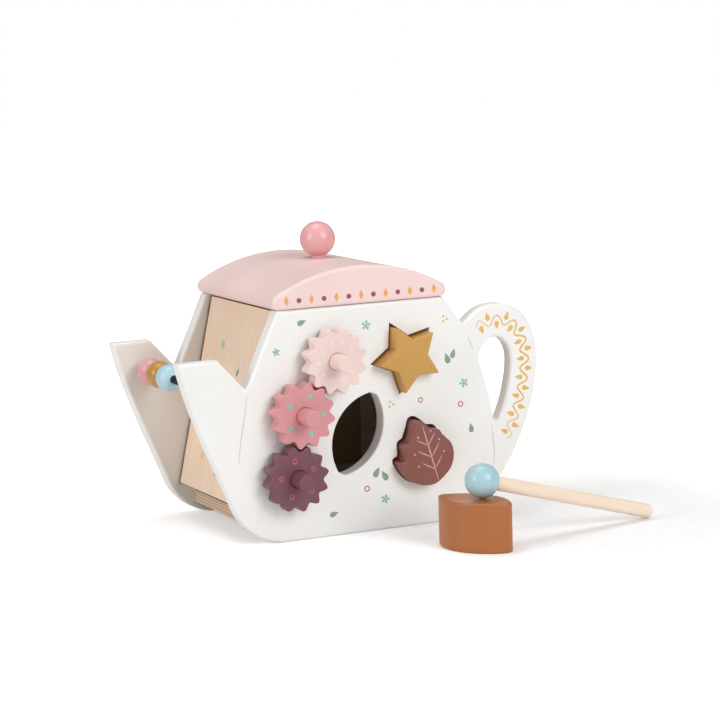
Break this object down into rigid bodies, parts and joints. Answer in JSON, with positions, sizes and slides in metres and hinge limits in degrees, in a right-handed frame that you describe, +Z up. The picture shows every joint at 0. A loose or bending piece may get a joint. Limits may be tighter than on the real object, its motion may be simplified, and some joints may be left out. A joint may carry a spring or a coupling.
{
  "type": "activity toy teapot",
  "caption": "Wooden activity toy shaped as a teapot: lift-off lid, meshing gears, beads on a rod, posting blocks, an emptying flap, a small chime and its beater.",
  "frame": {"origin": "on the floor, under the middle of the lid, halfway between the two side panels", "axes": "+X along the length towards the handle (spout at -X), +Y from the gear side to the chime side, +Z up"},
  "size_m": [0.3274, 0.2681, 0.2153],
  "materials": {
    "white_paint": "satin white paint on board, softly rounded edges",
    "birch_ply": "clear-lacquered birch plywood",
    "beech": "plain sanded beech",
    "lid_pink": "satin pale pink paint",
    "knob_pink": "glossy rose paint",
    "pale_pink": "satin pale pink paint",
    "rose": "satin rose paint",
    "plum": "satin plum paint",
    "ochre": "satin ochre paint",
    "leaf_brown": "satin red-brown paint",
    "terracotta": "satin terracotta paint",
    "sky_blue": "satin light blue paint",
    "bead_rose": "glossy rose paint",
    "black_paint": "black-painted rod",
    "steel": "zinc-plated steel",
    "bar_rose": "rose lacquer on aluminium",
    "bar_gold": "gold lacquer on aluminium",
    "felt": "grey felt"
  },
  "bodies": {
    "teapot": {"front_panel": "white_paint", "back_panel": "white_paint", "base_board": "birch_ply", "handle_wall": "birch_ply", "panel_dowels": "beech", "bead_rod": "black_paint", "flap_pins": "steel", "flap_stops": "birch_ply", "gear_spacers": "beech", "chime_rails": "beech", "chime_felts": "felt", "chime_screws": "steel", "chime_bar_1": "bar_rose", "chime_bar_2": "bar_gold", "chime_bar_3": "bar_rose", "chime_bar_4": "bar_gold", "chime_bar_5": "bar_rose"},
    "flap": {"spout_flap": "birch_ply"},
    "lid": {"lid_block": "lid_pink", "lid_tongue": "birch_ply", "lid_screws": "steel", "lid_knob": "knob_pink", "knob_dowel": "beech"},
    "top_gear": {"gear_top": "pale_pink", "axle_top": "pale_pink", "washer_top": "steel", "screw_top": "steel"},
    "middle_gear": {"gear_middle": "rose", "axle_middle": "rose", "washer_middle": "steel", "screw_middle": "steel"},
    "bottom_gear": {"gear_bottom": "plum", "axle_bottom": "plum", "washer_bottom": "steel", "screw_bottom": "steel"},
    "star": {"star_block": "ochre"},
    "leaf": {"leaf_block": "leaf_brown"},
    "lens": {"lens_block": "terracotta"},
    "beater": {"beater_ball": "sky_blue", "beater_stick": "beech"},
    "pink_bead": {"bead_pink": "bead_rose"},
    "ochre_bead": {"bead_ochre": "ochre"},
    "blue_bead": {"bead_blue": "sky_blue"}
  },
  "joints": [
    {"name": "flap_swing", "type": "hinge", "parent": "teapot", "child": "flap", "pos_m": [-0.0603, 0, 0.15038], "axis": [0, 1, 0], "range_deg": [0, 26]},
    {"name": "lid_lift", "type": "slide", "parent": "teapot", "child": "lid", "axis": [0, 0, 1], "range_m": [0, 0.06]},
    {"name": "top_gear_spin", "type": "hinge", "parent": "teapot", "child": "top_gear", "pos_m": [-0.02652, 0, 0.12549], "axis": [0, 1, 0], "continuous": true},
    {"name": "middle_gear_spin", "type": "hinge", "parent": "teapot", "child": "middle_gear", "pos_m": [-0.0522, 0, 0.09001], "axis": [0, 1, 0], "continuous": true},
    {"name": "bottom_gear_spin", "type": "hinge", "parent": "teapot", "child": "bottom_gear", "pos_m": [-0.05852, 0, 0.04667], "axis": [0, 1, 0], "continuous": true},
    {"name": "star_post", "type": "slide", "parent": "teapot", "child": "star", "axis": [0, -1, 0], "range_m": [-0.01, 0.035]},
    {"name": "leaf_post", "type": "slide", "parent": "teapot", "child": "leaf", "axis": [0, -1, 0], "range_m": [-0.01, 0.035]},
    {"name": "lens_slide", "type": "slide", "parent": "teapot", "child": "lens", "axis": [0, -1, 0], "range_m": [0, 0.06]},
    {"name": "beater_lift", "type": "slide", "parent": "teapot", "child": "beater", "axis": [0, 0, 1], "range_m": [0, 0.08]},
    {"name": "pink_bead_spin", "type": "hinge", "parent": "teapot", "child": "pink_bead", "pos_m": [-0.1148, 0, 0.1109], "axis": [0, 1, 0], "continuous": true},
    {"name": "ochre_bead_spin", "type": "hinge", "parent": "teapot", "child": "ochre_bead", "pos_m": [-0.1148, 0, 0.1109], "axis": [0, 1, 0], "continuous": true},
    {"name": "blue_bead_slide", "type": "slide", "parent": "teapot", "child": "blue_bead", "axis": [0, -1, 0], "range_m": [0, 0.055]}
  ],
  "couplings": [
    {"joint": "middle_gear_spin", "follows": "top_gear_spin", "ratio": -1},
    {"joint": "bottom_gear_spin", "follows": "top_gear_spin", "ratio": 1}
  ]
}
